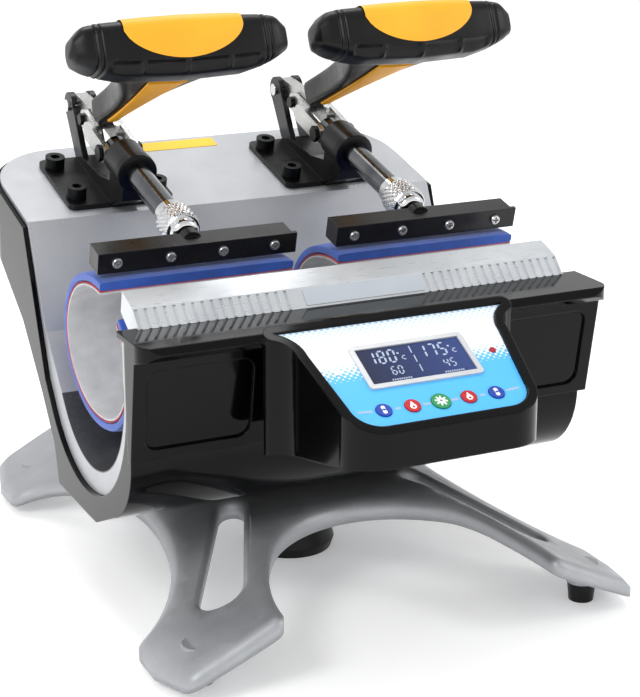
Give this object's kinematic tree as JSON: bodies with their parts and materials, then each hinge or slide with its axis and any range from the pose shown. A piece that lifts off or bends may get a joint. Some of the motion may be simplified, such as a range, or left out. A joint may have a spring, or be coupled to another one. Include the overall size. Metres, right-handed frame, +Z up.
{
  "type": "double mug heat press",
  "caption": "Bench heat press for mugs: curved silicone heaters on an arched cast base, each clamped by a toggle lever, with a sloping control panel in front.",
  "frame": {"origin": "on the floor, at the centre of the base, under its centre pad", "axes": "+X to the operator's right, +Y to the back, +Z up; the control panel faces -Y"},
  "size_m": [0.306, 0.4101, 0.3546],
  "materials": {
    "silver_paint": "satin silver paint",
    "black_rubber": "matt",
    "zinc_steel": "zinc plated",
    "gloss_black": "gloss",
    "silver_trim": "satin",
    "blank_label": "satin film",
    "blue_panel": "satin film",
    "dark_screen": "gloss",
    "red_plastic": "gloss",
    "green_plastic": "gloss",
    "blue_plastic": "gloss",
    "green_board": "solder mask",
    "white_plastic": "matt",
    "matte_black": "matt",
    "yellow_label": "film",
    "black_steel": "black oxide",
    "black_paint": "satin powder coat",
    "chrome": "polished",
    "blue_silicone": "matt",
    "grey_silicone": "matt",
    "orange_inlay": "matt"
  },
  "bodies": {
    "frame": {"base_casting": "silver_paint", "rubber_feet": "black_rubber", "centre_pad": "black_rubber", "base_bolts": "zinc_steel", "console_shell": "gloss_black", "lower_housing": "gloss_black", "left_side_frame": "zinc_steel", "right_side_frame": "zinc_steel", "top_cover": "silver_paint", "toggle_mount": "zinc_steel", "front_bar": "silver_trim", "label_plate": "blank_label", "control_panel": "blue_panel", "lcd_bezel": "silver_trim", "lcd_screen": "dark_screen", "indicator_leds": "red_plastic", "control_board": "green_board", "board_standoffs": "white_plastic", "power_board": "green_board", "power_inlet": "matte_black", "fuse_holder": "matte_black", "switch_frame": "matte_black", "caution_label": "yellow_label", "toggle_bolts": "black_steel", "lever_pivots": "chrome", "heater_cradles": "zinc_steel", "left_toggle_base": "black_paint", "right_toggle_base": "black_paint", "left_heater_wrap": "blue_silicone", "right_heater_wrap": "blue_silicone", "left_heater_sheet": "grey_silicone", "right_heater_sheet": "grey_silicone"},
    "power_rocker": {"rocker_switch": "red_plastic"},
    "left_handle": {"left_lever": "zinc_steel", "left_grip": "black_rubber", "left_grip_inlays": "orange_inlay"},
    "left_plunger": {"left_plunger": "chrome", "left_plunger_pin": "black_steel", "left_clamp_bar": "black_paint", "left_clamp_plate": "black_paint", "left_clamp_screws": "zinc_steel"},
    "left_links": {"left_links": "zinc_steel", "left_link_pin": "black_steel"},
    "left_nut": {"left_pressure_nut": "chrome"},
    "right_handle": {"right_lever": "zinc_steel", "right_grip": "black_rubber", "right_grip_inlays": "orange_inlay"},
    "right_plunger": {"right_plunger": "chrome", "right_plunger_pin": "black_steel", "right_clamp_bar": "black_paint", "right_clamp_plate": "black_paint", "right_clamp_screws": "zinc_steel"},
    "right_links": {"right_links": "zinc_steel", "right_link_pin": "black_steel"},
    "right_nut": {"right_pressure_nut": "chrome"},
    "left_time_button": {"left_time_button": "blue_plastic"},
    "left_heat_button": {"left_heat_button": "red_plastic"},
    "set_button": {"set_button": "green_plastic"},
    "right_heat_button": {"right_heat_button": "red_plastic"},
    "right_time_button": {"right_time_button": "blue_plastic"}
  },
  "joints": [
    {"name": "left_handle_hinge", "type": "hinge", "parent": "frame", "child": "left_handle", "pos_m": [-0.0772, 0.17249, 0.27159], "axis": [-1, 0, 0], "range_deg": [0, 80]},
    {"name": "left_plunger_slide", "type": "slide", "parent": "frame", "child": "left_plunger", "axis": [0, 0.9703, 0.2419], "range_m": [0, 0.0366]},
    {"name": "left_link_hinge", "type": "hinge", "parent": "left_plunger", "child": "left_links", "pos_m": [-0.0772, 0.09681, 0.25272], "axis": [1, 0, 0], "range_deg": [0, 34.12]},
    {"name": "left_nut_turn", "type": "hinge", "parent": "left_plunger", "child": "left_nut", "pos_m": [-0.0772, -0.00847, 0.22647], "axis": [0, 0.9703, 0.2419], "range_deg": [-360, 360]},
    {"name": "right_handle_hinge", "type": "hinge", "parent": "frame", "child": "right_handle", "pos_m": [0.0772, 0.17249, 0.27159], "axis": [-1, 0, 0], "range_deg": [0, 80]},
    {"name": "right_plunger_slide", "type": "slide", "parent": "frame", "child": "right_plunger", "axis": [0, 0.9703, 0.2419], "range_m": [0, 0.0366]},
    {"name": "right_link_hinge", "type": "hinge", "parent": "right_plunger", "child": "right_links", "pos_m": [0.0772, 0.09681, 0.25272], "axis": [1, 0, 0], "range_deg": [0, 34.12]},
    {"name": "right_nut_turn", "type": "hinge", "parent": "right_plunger", "child": "right_nut", "pos_m": [0.0772, -0.00847, 0.22647], "axis": [0, 0.9703, 0.2419], "range_deg": [-360, 360]},
    {"name": "left_time_button_press", "type": "slide", "parent": "frame", "child": "left_time_button", "axis": [0, 0.4473, -0.8944], "range_m": [0, 0.0008], "stiffness_N_per_m": 400},
    {"name": "left_heat_button_press", "type": "slide", "parent": "frame", "child": "left_heat_button", "axis": [0, 0.4473, -0.8944], "range_m": [0, 0.0008], "stiffness_N_per_m": 400},
    {"name": "set_button_press", "type": "slide", "parent": "frame", "child": "set_button", "axis": [0, 0.4473, -0.8944], "range_m": [0, 0.0008], "stiffness_N_per_m": 400},
    {"name": "right_heat_button_press", "type": "slide", "parent": "frame", "child": "right_heat_button", "axis": [0, 0.4473, -0.8944], "range_m": [0, 0.0008], "stiffness_N_per_m": 400},
    {"name": "right_time_button_press", "type": "slide", "parent": "frame", "child": "right_time_button", "axis": [0, 0.4473, -0.8944], "range_m": [0, 0.0008], "stiffness_N_per_m": 400},
    {"name": "power_rocker_tilt", "type": "hinge", "parent": "frame", "child": "power_rocker", "pos_m": [0.018, 0.183, 0.216], "axis": [0, 0, 1], "range_deg": [0, 16]}
  ],
  "couplings": [
    {"joint": "left_plunger_slide", "follows": "left_handle_hinge", "m_per_rad": 0.026213},
    {"joint": "left_link_hinge", "follows": "left_handle_hinge", "ratio": 0.42634},
    {"joint": "right_plunger_slide", "follows": "right_handle_hinge", "m_per_rad": 0.026213},
    {"joint": "right_link_hinge", "follows": "right_handle_hinge", "ratio": 0.42634}
  ]
}
